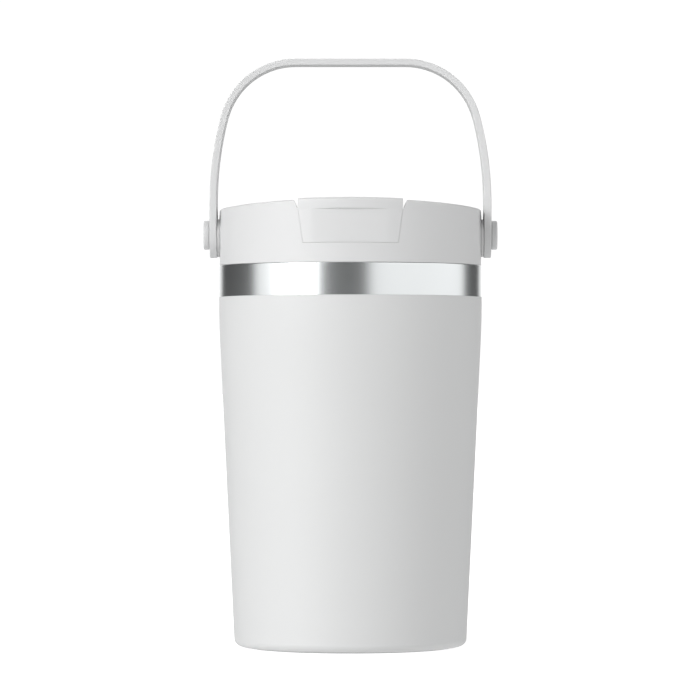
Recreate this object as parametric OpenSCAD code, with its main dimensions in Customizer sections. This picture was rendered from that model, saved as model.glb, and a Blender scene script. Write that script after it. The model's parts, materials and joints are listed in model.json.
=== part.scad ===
// Insulated tumbler with a lift-off lid, a flip cap over the sip hole and a
// swinging carry handle. Millimetres, +Z up, origin at the centre of the base
// on the surface that the tumbler stands on. The sip side faces -Y and the
// handle turns about an axis along X.

/* [Cup] */
// Outer radius of the cup at its steel band
cup_r = 44; // [43.5:0.1:44.5]
// Outer radius that the tapered wall would have at the floor
base_r = 38.75; // [38:0.05:39.5]
// Height at which the straight upper wall turns into the taper
taper_top = 109; // [100:1:112]
// Height of the joint between the coated wall and the bare steel band
band_bottom = 117.1; // [115:0.1:119]
// Height of the steel shelf that the lid stands on
band_top = 127.5; // [127.2:0.1:128.1]
// Radius of the rounded corner at the base
base_corner = 2.6; // [2.2:0.1:3.2]
// Thickness of the outer steel wall
wall = 0.8; // [0.6:0.1:1]
// Distance from the outside of the cup to the inside of the liner
wall_depth = 4.5; // [4.4:0.1:4.8]
// Inside height of the liner's floor
liner_floor = 9; // [8:0.5:12]

/* [Lid] */
// Outer radius of the lid skirt
lid_r = 43.8; // [43.6:0.1:43.8]
// Thickness of the lid skirt
skirt_t = 2.8; // [2.6:0.1:2.8]
// Height of the lid rim at its front and back
rim_top = 148.4; // [148:0.1:149]
// How much lower the rim is at its two sides than at its front
rim_drop = 2; // [1:0.1:3]
// Depth of the dished top below the rim
dish_depth = 2; // [1.5:0.1:2.2]
// Depth of the plug inside the cup's mouth, below the steel rim
plug_depth = 15; // [14:0.5:18]

/* [Flip cap] */
// Half width of the cap at its top edge
cap_half_top = 16.85; // [16:0.05:17]
// Half width of the cap's front apron at its lower edge
cap_half_bottom = 15.3; // [14.5:0.1:15.5]
// Height of the apron's lower edge
apron_bottom = 134.3; // [134:0.1:136]
// Gap between the cap and the lid around it
cap_gap = 0.3; // [0.2:0.05:0.4]
// Height of the cap's crown at its middle
cap_top = 148.85; // [148.6:0.05:149]
// Distance of the cap's hinge pin in front of the cup's axis
hinge_y = 4; // [3:0.1:5]

/* [Handle] */
// Height of the handle's pivot axis
pivot_z = 137.9; // [137.5:0.1:138.3]
// Distance of the strap's outer face from the middle at the pivots
strap_out = 47.1; // [47.1:0.05:47.4]
// Thickness of the strap
strap_t = 2.5; // [2.3:0.1:2.5]
// Radius of the round ends of the strap
lug_r = 7.6; // [7:0.1:7.8]
// Half width of the strap across the top of the bow
bow_half = 4.6; // [4:0.1:7]
// Height of the top of the bow
bow_top = 196.85; // [195:0.05:200]
// Radius of the pivot pins' round heads
pin_head_r = 4.85; // [4.5:0.05:5.2]

/* [Hidden] */

$fn = 128;
eps = 0.01;
big = 200;

// Colours
coat_grey = [0.84, 0.85, 0.85];
lid_grey = [0.86, 0.86, 0.86];
steel = [0.72, 0.73, 0.74];
copper = [0.80, 0.50, 0.35];
silicone_grey = [0.62, 0.63, 0.64];

// Cup
foot_t = 0.4;                    // how far the foot ring lifts the shell
slope = (cup_r - base_r) / taper_top;
band_inset = 0.1;                // the bare band lies under the coat's thickness
band_round = 0.8;
neck_t = 0.6;
liner_t = 0.6;
liner_r = cup_r - wall_depth;    // inside radius of the straight upper liner
neck_r = liner_r + liner_t + neck_t;
neck_top = 137;
steel_rim_top = neck_top + 0.4;
liner_corner = 7;
foil_t = 0.2;
foil_low = 20;
foil_high = 104;
base_open_r = 34.9;              // radius of the base disc and its opening
well_r = 21;                     // raised middle of the base disc
well_z = 3;
port_r = 1.2;
foot_in = 24;
foot_out = 34.5;
getter_x = 13;
getter_r = 4;

// Lid
skirt_bottom = band_top + 0.2;
skirt_in = lid_r - skirt_t;
deck_under = 139;
pocket_floor = 142.6;
pocket_back = 0;
crown_r = cup_r * cup_r / (2 * rim_drop);   // radius of the rim's side-to-side curve
dish_r = lid_r - 2.4;
notch_z = 145.2;                 // height at which the V notches start
notch_flare = 1.3;               // how much each notch widens up to the rim
apron_back_r = 42;
plug_r = liner_r - 0.6;
plug_bottom = steel_rim_top - plug_depth;
plug_wall = 3.5;
plug_floor = 2;
flange_bottom = steel_rim_top + 0.3;
gasket_bottom = plug_bottom + 5;
gasket_h = 3.2;
gasket_in = plug_r - 1.7;
spout_y = 29;
spout_len = 15;
spout_w = 7;
spout_t = 2;
spout_top = 144.6;
vent_y = 15;
vent_r = 2.5;
vent_top = 143.4;

// Flip cap hinge
hinge_z = cap_top - 2.7;
knuckle_r = 2.6;
knuckle_half = 10;
ear_gap = 0.4;
ear_t = 6.3;
pin_half = knuckle_half + ear_gap + ear_t;
hinge_pin_r = 1;
hinge_play = 0.06;
plate_under = 146.2;
inner_plate_t = 1.2;
lip_z = 145.1;
nail_half = 12.4;                // half width of the fingernail recess
nail_depth = 0.75;

// Handle pivots
boss_x = lid_r;
boss_r = 6.15;
washer_t = 0.72;
washer_r = 7.3;
washer_top = 5.1;                // height over the pivot where a washer is cut flat
pin_r = 2.5;
pin_play = 0.06;
pin_inner_x = 41.6;
head_t = 1.98;
head_x = strap_out + 0.12;
strap_in = strap_out - strap_t;

// Bow outline: a flat top, then tangent arcs [radius, start, end], angles from
// straight up. The last arc ends upright at the strap's width at the pivots.
flat_half = 18.5;
corner_r = 25.6;
corner_end = 70;
hip_r = 36;
hip_end = 76;
leg_r = (strap_out - flat_half - (corner_r - hip_r) * sin(corner_end) - hip_r * sin(hip_end))
    / (1 - sin(hip_end));
bow_arcs = [[corner_r, 0, corner_end], [hip_r, corner_end, hip_end], [leg_r, hip_end, 90]];

// Outside radius of the cup at height z
function cup_radius(z) = z > taper_top ? cup_r : base_r + slope * z;

// Points on a round stretch, angles in degrees from +X
function arc(c, r, a0, a1, n) =
    [for (i = [0:n]) c + r * [cos(a0 + (a1 - a0) * i / n), sin(a0 + (a1 - a0) * i / n)]];

// Rounded corner between a floor at z and a wall that leans by the taper
function base_arc(wall_r, z, r, n) =
    arc([wall_r + slope * (z + r) - r * sqrt(1 + slope * slope), z + r], r, -90, -atan(slope), n);

// Centre of bow arc i, so that each arc starts where the one before it ends
function bow_dir(a) = [sin(a), cos(a)];
function bow_centre(i) =
    i == 0
    ? [flat_half, bow_top - bow_arcs[0][0]]
    : bow_centre(i - 1) + (bow_arcs[i - 1][0] - bow_arcs[i][0]) * bow_dir(bow_arcs[i][1]);

// Half of the bow's outline, inset by t, from the top of the bow downwards
function bow_side(t, side) = [
    for (i = [0:2])
        for (j = [0:8])
            let (a = bow_arcs[i][1] + (bow_arcs[i][2] - bow_arcs[i][1]) * j / 8)
                if (i == 0 || j > 0)
                    let (p = bow_centre(i) + (bow_arcs[i][0] - t) * bow_dir(a))
                        [side * p[0], p[1]]
];
function reversed(list) = [for (i = [len(list) - 1:-1:0]) list[i]];

// Solid of revolution about the cup's axis
module turned(points) {
    rotate_extrude() polygon(points);
}

// Ring or disc between two radii and two heights
module ring(r_in, r_out, z0, z1) {
    turned([[r_in, z0], [r_out, z0], [r_out, z1], [r_in, z1]]);
}

// Flat shape with round ends, its length along X
module slot_shape(len, w) {
    square([len - w, w], center = true);
    for (side = [-1, 1])
        translate([side * (len - w) / 2, 0]) circle(d = w);
}

// Upright slot through the lid at the sip hole, made larger by grow all round
module spout_slot(grow, z0, z1) {
    translate([0, -spout_y, z0])
        linear_extrude(z1 - z0)
            slot_shape(spout_len + 2 * grow, spout_w + 2 * grow);
}

// Round post on the lid at the vent
module vent_post(r, z0, z1) {
    translate([0, -vent_y, z0]) cylinder(r = r, h = z1 - z0);
}

// Cylinder along Y that the lid's crown curve lies on, its top at height z
module crown(z, r) {
    translate([0, 0, z - r])
        rotate([90, 0, 0]) cylinder(r = r, h = big, center = true, $fn = 360);
}

// Flat XZ outline pushed along Y from y0 to y1
module along_y(y0, y1) {
    translate([0, y1, 0]) rotate([90, 0, 0]) linear_extrude(y1 - y0) children();
}

// Flat shape in YZ pushed along X from x0 to x1
module along_x(x0, x1) {
    translate([x0, 0, 0])
        rotate([90, 0, 90]) linear_extrude(x1 - x0) children();
}

// Round bar along X at the handle's pivot, on the side given
module pivot_bar(side, r, x0, x1) {
    translate([side > 0 ? x0 : -x1, 0, pivot_z])
        rotate([0, 90, 0]) cylinder(r = r, h = x1 - x0);
}

// Round bar along the cap's hinge axis, as long as the hinge pin
module hinge_bar(r) {
    translate([0, -hinge_y, hinge_z]) rotate([0, 90, 0])
        cylinder(r = r, h = 2 * pin_half, center = true);
}

// Apron outline between the notch height and the apron's lower edge
module apron_outline(grow, top) {
    polygon([
        [-cap_half_bottom - grow, apron_bottom - grow],
        [cap_half_bottom + grow, apron_bottom - grow],
        [cap_half_top + grow, notch_z],
        [cap_half_top + grow, top],
        [-cap_half_top - grow, top],
        [-cap_half_top - grow, notch_z]
    ]);
}

// ---- Cup ----

// Powder-coated outer wall, open at the bottom for the base disc
module outer_shell() {
    color(coat_grey) turned(concat(
        [[base_open_r, foot_t]],
        base_arc(base_r, foot_t, base_corner, 10),
        [[cup_r, taper_top], [cup_r, band_bottom], [cup_r - wall, band_bottom],
         [cup_r - wall, taper_top]],
        reversed(base_arc(base_r - wall, foot_t + wall, base_corner - wall, 10)),
        [[base_open_r, foot_t + wall]]
    ));
}

// Bare steel band with a rounded shoulder, the shelf under the lid and the neck
module steel_collar() {
    band_r = cup_r - band_inset;
    color(steel) turned(concat(
        [[band_r - wall, band_bottom], [band_r, band_bottom]],
        arc([band_r - band_round, band_top - band_round], band_round, 0, 90, 6),
        [[neck_r, band_top], [neck_r, neck_top], [neck_r - neck_t, neck_top],
         [neck_r - neck_t, band_top - wall], [band_r - wall, band_top - wall]]
    ));
}

// Inner steel cup; its top edge folds out over the neck
module inner_liner() {
    out_r = liner_r + liner_t;
    color(steel) turned(concat(
        [[0, liner_floor]],
        base_arc(base_r - wall_depth, liner_floor, liner_corner, 8),
        [[liner_r, taper_top], [liner_r, neck_top]],
        arc([(liner_r + neck_r) / 2, neck_top], (neck_r - liner_r) / 2, 180, 90, 3),
        arc([(liner_r + neck_r) / 2, neck_top], (neck_r - liner_r) / 2, 60, 0, 2),
        [[out_r, neck_top], [out_r, taper_top]],
        reversed(base_arc(base_r - wall_depth + liner_t, liner_floor - liner_t,
                          liner_corner, 8)),
        [[0, liner_floor - liner_t]]
    ));
}

// Thin copper foil wrapped round the liner inside the vacuum gap
module copper_foil() {
    gap_r = -wall_depth + liner_t;
    color(copper) turned([
        [cup_radius(foil_low) + gap_r, foil_low],
        [cup_radius(foil_low) + gap_r + foil_t, foil_low],
        [cup_radius(foil_high) + gap_r + foil_t, foil_high],
        [cup_radius(foil_high) + gap_r, foil_high]
    ]);
}

// Pressed steel disc welded into the bottom of the outer wall
module base_disc() {
    color(steel) turned([
        [port_r, well_z],
        [well_r - well_z + foot_t, well_z],
        [well_r, foot_t],
        [base_open_r, foot_t],
        [base_open_r, foot_t + wall],
        [well_r + wall / 2, foot_t + wall],
        [well_r - well_z + foot_t + wall / 2, well_z + wall],
        [port_r, well_z + wall]
    ]);
}

// Steel dish that holds the getter on the base disc
module getter_clip() {
    z = well_z + wall;
    color(steel) translate([getter_x, 0, 0]) difference() {
        translate([0, 0, z]) cylinder(r = getter_r + 0.5, h = 1.6);
        translate([0, 0, z + 0.4]) cylinder(r = getter_r, h = 2);
    }
}

// Gas-absorbing pellet that keeps the vacuum
module getter_pellet() {
    color("dimgray") translate([getter_x, 0, well_z + wall + 0.4])
        cylinder(r = getter_r, h = 2);
}

// Bead that closes the hole through which the gap was evacuated
module vacuum_seal() {
    color("lightgray") {
        translate([0, 0, well_z]) cylinder(r = port_r, h = wall);
        translate([0, 0, well_z - 0.5]) cylinder(r = 2.4, h = 0.5);
    }
}

// Thin cover disc under the middle of the base, with a dimple for the bead
module port_cover() {
    color(steel) difference() {
        translate([0, 0, well_z - 1.2])
            cylinder(r = well_r - 2.8, h = 1.2);
        translate([0, 0, well_z - 0.5 - eps]) cylinder(r = 2.4, h = 1);
    }
}

// Soft ring that the tumbler stands on
module foot_ring() {
    color(silicone_grey) ring(foot_in, foot_out, 0, foot_t);
}

// ---- Lid ----

// Solid lid blank: skirt and top, crowned from side to side
module lid_blank() {
    intersection() {
        translate([0, 0, skirt_bottom])
            cylinder(r = lid_r, h = rim_top - skirt_bottom + 1);
        crown(rim_top, crown_r);
    }
}

// Space that the flip cap lies in, with V notches beside its front edge
module cap_pocket() {
    flare_top = rim_top + 2;
    flare = notch_flare * (flare_top - notch_z) / (rim_top - notch_z);
    half_floor = cap_half_bottom + (cap_half_top - cap_half_bottom)
        * (pocket_floor - apron_bottom) / (notch_z - apron_bottom);
    along_y(-cup_r - 2, pocket_back) polygon([
        [-half_floor - cap_gap, pocket_floor],
        [half_floor + cap_gap, pocket_floor],
        [cap_half_top + cap_gap, notch_z],
        [cap_half_top + cap_gap + flare, flare_top],
        [-cap_half_top - cap_gap - flare, flare_top],
        [-cap_half_top - cap_gap, notch_z]
    ]);
    difference() {
        along_y(-cup_r - 2, -cup_r / 2) apron_outline(cap_gap, notch_z + eps);
        translate([0, 0, 100]) cylinder(r = apron_back_r - 0.2, h = 100);
    }
}

// Two upright ears that hold the ends of the cap's hinge pin
module hinge_ears() {
    x0 = knuckle_half + ear_gap;
    for (x = [x0, -x0 - ear_t])
        along_x(x, x + ear_t) {
            translate([-hinge_y, hinge_z]) circle(r = knuckle_r - 0.2);
            translate([-hinge_y - knuckle_r + 0.2, pocket_floor - 0.5])
                square([2 * knuckle_r - 0.4, hinge_z - pocket_floor + 0.5]);
        }
}

// Moulded lid: skirt, raised rim, dished top, cap pocket and handle bosses
module lid_shell() {
    color(lid_grey) difference() {
        union() {
            difference() {
                union() {
                    lid_blank();
                    for (side = [-1, 1]) pivot_bar(side, boss_r, skirt_in + 1, boss_x);
                }
                cap_pocket();
                difference() {
                    translate([0, 0, deck_under]) cylinder(r = dish_r, h = 20);
                    crown(rim_top - dish_depth, crown_r - dish_depth);
                }
            }
            hinge_ears();
        }
        translate([0, 0, skirt_bottom - 1])
            cylinder(r = skirt_in, h = deck_under - skirt_bottom + 1);
        difference() {
            translate([0, 0, deck_under - eps]) cylinder(r = skirt_in - 2, h = 5);
            translate([-22, -cup_r, deck_under - 1]) cube([44, cup_r + 3, 10]);
        }
        spout_slot(spout_t, deck_under - 1, pocket_floor + 1);
        vent_post(vent_r, deck_under - 1, pocket_floor + 1);
        for (side = [-1, 1]) pivot_bar(side, pin_r, pin_inner_x, boss_x + 1);
        hinge_bar(hinge_pin_r);
    }
}

// Hollow plug that closes the cup's mouth, with a groove for its gasket
module lid_plug() {
    in_r = plug_r - plug_wall;
    color(lid_grey) difference() {
        turned([
            [0, plug_bottom], [plug_r - 1, plug_bottom], [plug_r, plug_bottom + 1],
            [plug_r, gasket_bottom], [gasket_in, gasket_bottom],
            [gasket_in, gasket_bottom + gasket_h], [plug_r, gasket_bottom + gasket_h],
            [plug_r, flange_bottom], [neck_r, flange_bottom], [neck_r, deck_under],
            [in_r, deck_under], [in_r, plug_bottom + plug_floor],
            [0, plug_bottom + plug_floor]
        ]);
        spout_slot(spout_t, plug_bottom - 1, plug_bottom + plug_floor + 1);
        vent_post(vent_r, plug_bottom - 1, plug_bottom + plug_floor + 1);
    }
}

// Foam block that fills the plug
module lid_insulation() {
    z0 = plug_bottom + plug_floor;
    color("white") difference() {
        translate([0, 0, z0]) cylinder(r = plug_r - plug_wall, h = deck_under - z0);
        spout_slot(spout_t, z0 - 1, deck_under + 1);
        vent_post(vent_r, z0 - 1, deck_under + 1);
    }
}

// Soft seal with two lips that wipe the liner
module lid_gasket() {
    lip_r = liner_r - 0.1;
    root_r = plug_r - 0.3;
    z0 = gasket_bottom + 0.1;
    z1 = gasket_bottom + gasket_h - 0.1;
    color(silicone_grey) turned([
        [gasket_in, z0], [root_r, z0], [lip_r, z0 + 0.4], [root_r, z0 + 1.1],
        [root_r, z1 - 1.1], [lip_r, z1 - 0.4], [root_r, z1], [gasket_in, z1]
    ]);
}

// Drinking channel from the cup to the raised sip hole
module sip_spout() {
    color(lid_grey) difference() {
        spout_slot(spout_t, plug_bottom - 0.4, spout_top);
        spout_slot(0, plug_bottom - 1, spout_top + 1);
    }
}

// Small tube that lets air in behind the drink
module vent_tube() {
    color(lid_grey) difference() {
        vent_post(vent_r, plug_bottom - 0.4, vent_top);
        vent_post(1, plug_bottom - 1, vent_top + 1);
    }
}

// Steel pin that the flip cap turns on
module cap_hinge_pin() {
    color(steel) hinge_bar(hinge_pin_r);
}

// ---- Handle ----

// Pin that holds one end of the handle, with a round head outside the strap
module pivot_pin(side) {
    color(lid_grey) {
        pivot_bar(side, pin_r, pin_inner_x, head_x + eps);
        translate([side * head_x, 0, pivot_z])
            rotate([0, side * 90, 0]) rotate_extrude() polygon(concat(
                [[0, 0], [pin_head_r, 0]],
                arc([pin_head_r - 0.6, head_t - 0.6], 0.6, 0, 90, 5),
                [[0, head_t]]
            ));
    }
}
module pivot_pin_left() { pivot_pin(-1); }
module pivot_pin_right() { pivot_pin(1); }

// Flat washer between the lid's boss and the strap, its top edge cut straight
module pivot_washer(side) {
    color(silicone_grey) difference() {
        pivot_bar(side, washer_r, boss_x, boss_x + washer_t);
        pivot_bar(side, pin_r, boss_x - 1, boss_x + washer_t + 1);
        translate([side * boss_x - 2, -washer_r - 1, pivot_z + washer_top])
            cube([4, 2 * washer_r + 2, washer_r]);
    }
}
module pivot_washer_left() { pivot_washer(-1); }
module pivot_washer_right() { pivot_washer(1); }

// Moulded carry strap: an arched bow with a round lug at each end
module handle_strap() {
    low = pivot_z - lug_r - 1;
    color(lid_grey) difference() {
        intersection() {
            along_y(-lug_r - 1, lug_r + 1) polygon(concat(
                [[strap_out, low]],
                reversed(bow_side(0, 1)), bow_side(0, -1),
                [[-strap_out, low], [-strap_in, low]],
                reversed(bow_side(strap_t, -1)), bow_side(strap_t, 1),
                [[strap_in, low]]
            ));
            along_x(-strap_out - 1, strap_out + 1) {
                translate([0, pivot_z]) circle(r = lug_r);
                polygon([
                    [-lug_r, pivot_z], [lug_r, pivot_z],
                    [bow_half, bow_top + 1], [-bow_half, bow_top + 1]
                ]);
            }
        }
        for (side = [-1, 1])
            pivot_bar(side, pin_r + pin_play, strap_in - 1, strap_out + 1);
    }
}

// ---- Flip cap ----

// Cap with a front apron that hangs over the lid's face, under a thumb lip
module flip_cap() {
    ear_front = hinge_y + knuckle_r + 0.6;
    nail_r = nail_half * nail_half / (2 * 1.04) + 0.52;
    color(lid_grey) difference() {
        union() {
            intersection() {
                translate([0, 0, 100]) cylinder(r = lid_r, h = 100);
                crown(cap_top, crown_r);
                union() {
                    along_y(-cup_r, -ear_front) polygon([
                        [-cap_half_top, plate_under], [cap_half_top, plate_under],
                        [cap_half_top, cap_top + 1], [-cap_half_top, cap_top + 1]
                    ]);
                    difference() {
                        along_y(-cup_r, -cup_r / 2) apron_outline(0, cap_top + 1);
                        translate([0, 0, 100]) cylinder(r = apron_back_r, h = 100);
                    }
                    translate([-knuckle_half, -cup_r / 2, plate_under])
                        cube([2 * knuckle_half, cup_r / 2 - hinge_y, 10]);
                }
            }
            translate([-knuckle_half, -hinge_y, hinge_z])
                rotate([0, 90, 0]) cylinder(r = knuckle_r, h = 2 * knuckle_half);
        }
        hinge_bar(hinge_pin_r + hinge_play);
        difference() {
            translate([-nail_half - 2, -cup_r - 2, apron_bottom - 1])
                cube([2 * nail_half + 4, 8, lip_z - apron_bottom + 1]);
            translate([0, nail_r - lid_r + nail_depth, 100])
                cylinder(r = nail_r, h = 100);
        }
    }
}

// Welded plate under the cap that holds the two stoppers
module cap_inner_plate() {
    color(lid_grey) translate([-14, -38, plate_under - inner_plate_t])
        cube([28, 27, inner_plate_t]);
}

// Soft stopper that seals the sip hole
module spout_stopper() {
    z1 = plate_under - inner_plate_t;
    color(silicone_grey) {
        spout_slot(1.6, spout_top + 0.05, z1);
        spout_slot(-0.65, spout_top - 2.4, z1);
    }
}

// Soft button that covers the vent
module vent_stopper() {
    z1 = plate_under - inner_plate_t;
    color(silicone_grey) vent_post(2.2, vent_top + 0.1, z1);
}

outer_shell();
steel_collar();
inner_liner();
copper_foil();
base_disc();
getter_clip();
getter_pellet();
vacuum_seal();
port_cover();
foot_ring();
lid_shell();
lid_plug();
lid_insulation();
lid_gasket();
sip_spout();
vent_tube();
cap_hinge_pin();
pivot_pin_left();
pivot_pin_right();
pivot_washer_left();
pivot_washer_right();
handle_strap();
flip_cap();
cap_inner_plate();
spout_stopper();
vent_stopper();
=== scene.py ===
import json
import math

import bmesh
import bpy
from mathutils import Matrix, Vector


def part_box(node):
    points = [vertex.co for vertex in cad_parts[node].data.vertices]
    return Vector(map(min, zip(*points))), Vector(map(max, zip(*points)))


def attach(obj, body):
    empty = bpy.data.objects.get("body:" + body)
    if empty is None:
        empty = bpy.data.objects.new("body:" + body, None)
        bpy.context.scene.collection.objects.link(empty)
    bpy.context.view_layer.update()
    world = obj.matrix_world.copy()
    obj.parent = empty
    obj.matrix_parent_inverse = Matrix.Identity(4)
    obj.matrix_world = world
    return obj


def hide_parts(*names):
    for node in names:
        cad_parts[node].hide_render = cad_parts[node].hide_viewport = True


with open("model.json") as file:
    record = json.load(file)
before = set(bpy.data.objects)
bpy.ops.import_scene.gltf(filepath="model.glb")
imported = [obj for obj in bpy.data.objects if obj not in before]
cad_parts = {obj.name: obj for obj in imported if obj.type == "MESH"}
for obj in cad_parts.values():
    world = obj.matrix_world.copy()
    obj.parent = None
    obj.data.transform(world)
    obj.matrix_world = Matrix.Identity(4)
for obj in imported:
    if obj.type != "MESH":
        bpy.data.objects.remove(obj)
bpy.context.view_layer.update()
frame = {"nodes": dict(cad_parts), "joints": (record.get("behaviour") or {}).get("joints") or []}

MM = 0.001
TURN = 2 * math.pi
nodes = frame["nodes"]


def mm_box(node):
    """A CAD node's lowest and highest corners, in millimetres."""
    low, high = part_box(node)
    return low / MM, high / MM


def joint_origin(name):
    """A hinge's position in millimetres."""
    joint = next(j for j in frame["joints"] if j["name"] == name)
    return Vector(joint["pos_m"]) / MM


# ---------------------------------------------------------------- sizes, mm

shell_low, shell_high = mm_box("outer_shell")
collar_low, collar_high = mm_box("steel_collar")
liner_low, liner_high = mm_box("inner_liner")
foot_low, foot_high = mm_box("foot_ring")
disc_low, disc_high = mm_box("base_disc")
cover_low, cover_high = mm_box("port_cover")
lid_low, lid_high = mm_box("lid_shell")
plug_low, plug_high = mm_box("lid_plug")
gasket_low, gasket_high = mm_box("lid_gasket")
spout_low, spout_high = mm_box("sip_spout")
vent_low, vent_high = mm_box("vent_tube")
_, strap_high = mm_box("handle_strap")
pin_low, pin_high = mm_box("pivot_pin_right")
washer_low, washer_high = mm_box("pivot_washer_right")
cap_low, cap_high = mm_box("flip_cap")
plate_low, plate_high = mm_box("cap_inner_plate")
stopper_low, stopper_high = mm_box("spout_stopper")
button_low, button_high = mm_box("vent_stopper")
_, hinge_pin_high = mm_box("cap_hinge_pin")
handle_axis = joint_origin("handle_swing")
cap_axis = joint_origin("cap_flip")

CUP_R = shell_high.x
BAND_R = collar_high.x
BAND_BOTTOM = collar_low.z
NECK_TOP = collar_high.z
TAPER_TOP = 109
SLOPE = 5.25 / TAPER_TOP          # how fast the lower wall widens with height
BASE_R = CUP_R - SLOPE * TAPER_TOP
WALL = 0.8
LINER_R = CUP_R - 4.5
LINER_T = 0.6
SHELF_Z = lid_low.z - 0.03       # top of the steel band
NECK_R = liner_high.x
NECK_T = 0.6

LID_R = lid_high.y
SKIRT_IN = LID_R - 2.8
RIM_TOP = lid_high.z - 0.1
RIM_W = 2.4
DISH_DEPTH = 2.0
DECK_UNDER = plug_high.z
CROWN_R = CUP_R ** 2 / 4         # radius of the lid's side-to-side curve
CAP_TOP = cap_high.z
CAP_HALF = cap_high.x
CAP_GAP = 0.3                    # clearance all round the flip cap
SEAM = 0.27                      # how far the cap's edges are drawn into that gap
APRON_LOW = cap_low.z
APRON_HALF = 15.3                # half width of the apron at its lower edge
APRON_IN = 42.0                  # radius of the apron's inner face
NOTCH_Z = 145.2
NOTCH_EASE = 0.6                 # chamfer of the notches' front edges
POCKET_Z = 142.6
LIP_Z = 145.1
PLATE_UNDER = plate_high.z
KNUCKLE_R = 2.6
KNUCKLE_HALF = 10.0
PLUG_R = 38.9
GROOVE_R = PLUG_R - 1.7          # floor of the seal's groove
PIN_R = 2.5                      # shank of the strap's pins
BOSS_R = 7.1                     # round pad on the lid behind each spacer


def crown_drop(x, top_r):
    """How far a surface with the lid's side-to-side curve has dropped at x."""
    return top_r - math.sqrt(top_r * top_r - x * x)


# ------------------------------------------------------------ mesh helpers

def arc(cx, cy, r, a0, a1, n):
    """Points on a round stretch; angles in degrees from the first axis."""
    return [(cx + r * math.cos(math.radians(a0 + (a1 - a0) * i / n)),
             cy + r * math.sin(math.radians(a0 + (a1 - a0) * i / n)))
            for i in range(n + 1)]


def rounded(corners, steps=6):
    """Closed outline from (a, b, radius) corners, each rounded by its radius."""
    out = []
    count = len(corners)
    for i, (x, y, r) in enumerate(corners):
        here = Vector((x, y))
        to_last = Vector(corners[i - 1][:2]) - here
        to_next = Vector(corners[(i + 1) % count][:2]) - here
        if r <= 0:
            out.append((x, y))
            continue
        half = to_last.angle(to_next) / 2
        reach = min(r / math.tan(half), to_last.length / 2.01, to_next.length / 2.01)
        r = reach * math.tan(half)
        to_last.normalize()
        to_next.normalize()
        centre = here + (to_last + to_next).normalized() * r / math.sin(half)
        start = here + to_last * reach - centre
        end = here + to_next * reach - centre
        sweep = start.angle_signed(end)
        for k in range(steps + 1):
            a = -sweep * k / steps
            c, s = math.cos(a), math.sin(a)
            out.append((centre.x + c * start.x - s * start.y,
                        centre.y + s * start.x + c * start.y))
    return out


def build(name, verts, faces, sharp):
    """Closed mesh object from millimetre points, smooth except at sharp edges."""
    merge = 1e-4
    mesh = bpy.data.meshes.new(name)
    bm = bmesh.new()
    made = [bm.verts.new(v) for v in verts]
    for face in faces:
        try:
            bm.faces.new([made[i] for i in face])
        except ValueError:
            pass
    bmesh.ops.remove_doubles(bm, verts=bm.verts, dist=merge)
    bmesh.ops.dissolve_degenerate(bm, edges=bm.edges, dist=merge)
    loose = [e for e in bm.edges if not e.link_faces]
    bmesh.ops.delete(bm, geom=loose, context="EDGES")
    bmesh.ops.recalc_face_normals(bm, faces=bm.faces)
    bm.to_mesh(mesh)
    bm.free()
    obj = bpy.data.objects.new(name, mesh)
    bpy.context.scene.collection.objects.link(obj)
    obj["sharp"] = sharp
    return obj


def finish_mesh(obj):
    """Scales a millimetre mesh to metres and sets its smooth shading."""
    mesh = obj.data
    for v in mesh.vertices:
        v.co *= MM
    mesh.polygons.foreach_set("use_smooth", [True] * len(mesh.polygons))
    mesh.set_sharp_from_angle(angle=math.radians(obj["sharp"]))
    del obj["sharp"]
    shade = obj.modifiers.new("shade", "WEIGHTED_NORMAL")
    shade.keep_sharp = True
    return obj


def loft(name, rings, wrap=False, sharp=35):
    """Skin over rings of equal point counts, each ring a closed loop."""
    n = len(rings[0])
    verts = [p for ring in rings for p in ring]
    faces = []
    count = len(rings)
    for i in range(count if wrap else count - 1):
        a = i * n
        b = ((i + 1) % count) * n
        for j in range(n):
            k = (j + 1) % n
            faces.append((a + j, a + k, b + k, b + j))
    if not wrap:
        faces.append(tuple(range(n - 1, -1, -1)))
        faces.append(tuple(range((count - 1) * n, count * n)))
    return build(name, verts, faces, sharp)


def lathe(name, outline, steps=192, shape=None):
    """Outline of (radius, height) turned about Z; shape may move each point."""
    rings = []
    for i in range(steps):
        a = TURN * i / steps
        ring = [Vector((r * math.cos(a), r * math.sin(a), z)) for r, z in outline]
        rings.append([shape(p) for p in ring] if shape else ring)
    return loft(name, rings, wrap=True)


def prism_y(name, outline, y0, y1):
    """Outline of (x, z) pushed along Y."""
    return loft(name, [[Vector((x, y, z)) for x, z in outline] for y in (y0, y1)])


def cut(obj, tool, kind="DIFFERENCE"):
    """Exact boolean of obj with tool, applied; the tool is used up."""
    mod = obj.modifiers.new("cut", "BOOLEAN")
    mod.operation = kind
    mod.solver = "EXACT"
    mod.object = tool
    graph = bpy.context.evaluated_depsgraph_get()
    mesh = bpy.data.meshes.new_from_object(obj.evaluated_get(graph))
    obj.modifiers.clear()
    old = obj.data
    obj.data = mesh
    bpy.data.meshes.remove(old)
    used = tool.data
    bpy.data.objects.remove(tool)
    bpy.data.meshes.remove(used)
    return obj


def bar_x(name, y, z, r, x0, x1, steps=48):
    """Round bar along X."""
    angles = [TURN * (i + 0.4) / steps for i in range(steps)]
    return loft(name, [[Vector((x, y + r * math.cos(a), z + r * math.sin(a)))
                        for a in angles] for x in (x0, x1)])


def slot_ring(cy, z, length, width, n=20):
    """Round-ended loop about (0, cy), its length along X, at height z."""
    half = (length - width) / 2
    r = width / 2
    right = arc(half, cy, r, -90, 90, n)
    left = arc(-half, cy, r, 90, 270, n)
    return [Vector((x, y, z)) for x, y in right + left]


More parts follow.
